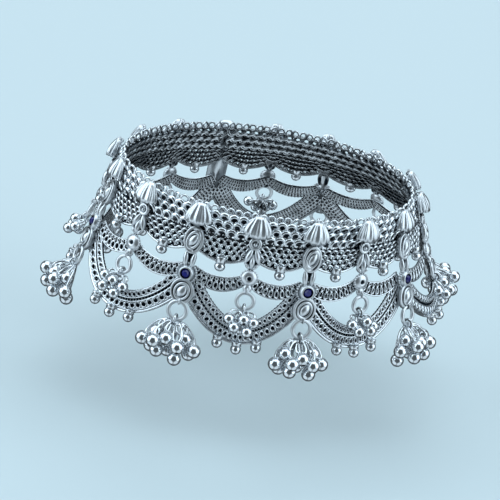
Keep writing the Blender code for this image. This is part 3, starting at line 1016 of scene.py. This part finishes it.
def makeClasp():
    front = stemBack + clasp["thick"]
    plate = primitive("cube", size=1, location=(0, -clasp["height"] / 2, stemBack + clasp["thick"] / 2),
                      scale=(clasp["width"], clasp["height"], clasp["thick"]))
    settle(plate)
    editWith(plate, "EDGE", lambda edge: span(edge, 2) > 1)
    bpy.ops.mesh.bevel(offset=clasp["rounding"], segments=6)
    leaveEdit()
    editWith(plate, "EDGE", lambda edge: lowest(edge) > front - 0.05)
    bpy.ops.mesh.bevel(offset=clasp["edge"], segments=4)
    leaveEdit()
    oxideAndShade(plate, 0)
    plate.data.transform(stemFrame(ankle["claspStation"]))
    finishPiece(plate, castSilver, "silver", "clasp_plate")
    plate.name = "claspPlate"


makeClasp()
print("clasp set")


studio = {
    "azimuth": -23.4, "elevation": 19.2, "roll": 11.0, "distance": 0.5, "fill": 0.84, "sensor": 36,
    "floor": "#c7d4d8", "floorDrop": 0.022, "floorSize": 8, "floorRough": 0.8,
    "grain": 600.0, "grainDepth": 0.0002,  # grains to the metre, and their depth in metres
    "sky": "#c9e4f1", "tint": "#e4f5ff", "gloom": 0.12,
    # softboxes: azimuth, elevation, half angle, brightness
    "boxes": ((-102, 24, 34, 1.75), (56, 24, 34, 1.4), (157, 80, 34, 1.55), (157, 30, 26, 0.9),
              (-72, -38, 30, 0.6), (26, -38, 30, 0.5)),
    "softEdge": 6,
    # a ring light round the lens, and the dark lens inside it: a polished ball shows both
    "ringLight": (100, 0.3), "lens": 43,
}


def aim(azimuth, elevation):
    a, e = radians(azimuth), radians(elevation)
    return Vector((sin(a) * cos(e), -cos(a) * cos(e), sin(e)))


def makeCamera():
    back = aim(studio["azimuth"], studio["elevation"])
    right = Vector((cos(radians(studio["azimuth"])), sin(radians(studio["azimuth"])), 0))
    up = back.cross(right)
    roll = radians(studio["roll"])
    right, up = right * cos(roll) + up * sin(roll), up * cos(roll) - right * sin(roll)
    position = Vector((0, 0, ankle["topZ"] * mm)) + back * studio["distance"]
    cloud = np.concatenate([points(piece) for piece in finished]) - np.array(position)
    for _ in range(3):  # each pass turns the camera nearer to the middle of what it sees
        depth = cloud @ -np.array(back)
        across, tall = cloud @ np.array(right) / depth, cloud @ np.array(up) / depth
        towards = -back + right * (across.min() + across.max()) / 2 + up * (tall.min() + tall.max()) / 2
        back = -towards.normalized()
        right = (right - back * right.dot(back)).normalized()
        up = back.cross(right)
    camera = bpy.data.objects.new("camera", bpy.data.cameras.new("camera"))
    bpy.context.scene.collection.objects.link(camera)
    camera.matrix_world = Matrix.Translation(position) @ Matrix((right, up, back)).transposed().to_4x4()
    camera.data.sensor_width = studio["sensor"]
    camera.data.lens = studio["sensor"] * studio["fill"] / (across.max() - across.min())
    camera.data.clip_start, camera.data.clip_end = 0.01, 20
    bpy.context.scene.camera = camera


def makeFloor():
    floor = primitive("plane", size=studio["floorSize"], location=(0, 0, cadBox[0].z - studio["floorDrop"]))
    settle(floor)
    material, tree, shader = newMaterial("matt pale card")
    coords = addNode(tree, "ShaderNodeTexCoord")
    grain = addNode(tree, "ShaderNodeTexNoise", Vector=coords.outputs["Object"], Scale=studio["grain"])
    bump = addNode(tree, "ShaderNodeBump", Height=grain.outputs["Fac"], Strength=0.05,
                   Distance=studio["grainDepth"])
    shader.inputs["Base Color"].default_value = linear(studio["floor"])
    shader.inputs["Roughness"].default_value = studio["floorRough"]
    tree.links.new(bump.outputs[0], shader.inputs["Normal"])
    floor.data.materials.append(material)
    floor.name = "floor"
    floor.visible_glossy = False  # the card would fill every ball from below


def makeWorld():
    # softboxes in a dim room, and the same pale card behind the piece as under it
    world = bpy.data.worlds.new("studio")
    bpy.context.scene.world = world
    world.use_nodes = True
    tree = world.node_tree
    background = tree.nodes["Background"]
    coords = addNode(tree, "ShaderNodeTexCoord")

    def patch(azimuth, elevation, halfAngle, inside, outside=0.0):
        soft = studio["softEdge"]
        aimed = addNode(tree, "ShaderNodeVectorMath", {"operation": "DOT_PRODUCT"},
                        in0=coords.outputs["Generated"], in1=aim(azimuth, elevation))
        spot = addNode(tree, "ShaderNodeMapRange", {"interpolation_type": "SMOOTHSTEP"},
                       Value=aimed.outputs["Value"], From_Min=cos(radians(halfAngle + soft)),
                       From_Max=cos(radians(halfAngle - soft)), To_Min=outside, To_Max=inside)
        return spot.outputs[0]

    lens = studio["azimuth"], studio["elevation"]
    level = patch(*lens, *studio["ringLight"])
    for box in studio["boxes"]:
        level = addNode(tree, "ShaderNodeMath", {"operation": "ADD"}, in0=level, in1=patch(*box)).outputs[0]
    level = addNode(tree, "ShaderNodeMath", {"operation": "MULTIPLY_ADD"}, in0=level,
                    in1=patch(*lens, studio["lens"], 0.0, 1.0), in2=studio["gloom"]).outputs[0]
    tinted = addNode(tree, "ShaderNodeMix", {"data_type": "RGBA", "blend_type": "MULTIPLY"}, Factor=1.0,
                     A=level, B=linear(studio["tint"]))
    seen = addNode(tree, "ShaderNodeLightPath")
    lit = addNode(tree, "ShaderNodeMix", {"data_type": "RGBA"}, Factor=seen.outputs["Is Camera Ray"],
                  A=tinted.outputs["Result"], B=linear(studio["sky"]))
    tree.links.new(lit.outputs["Result"], background.inputs["Color"])
    background.inputs["Strength"].default_value = 1.0


makeCamera()
makeFloor()
makeWorld()
bpy.context.scene.view_settings.view_transform = "Standard"
print("studio lit")
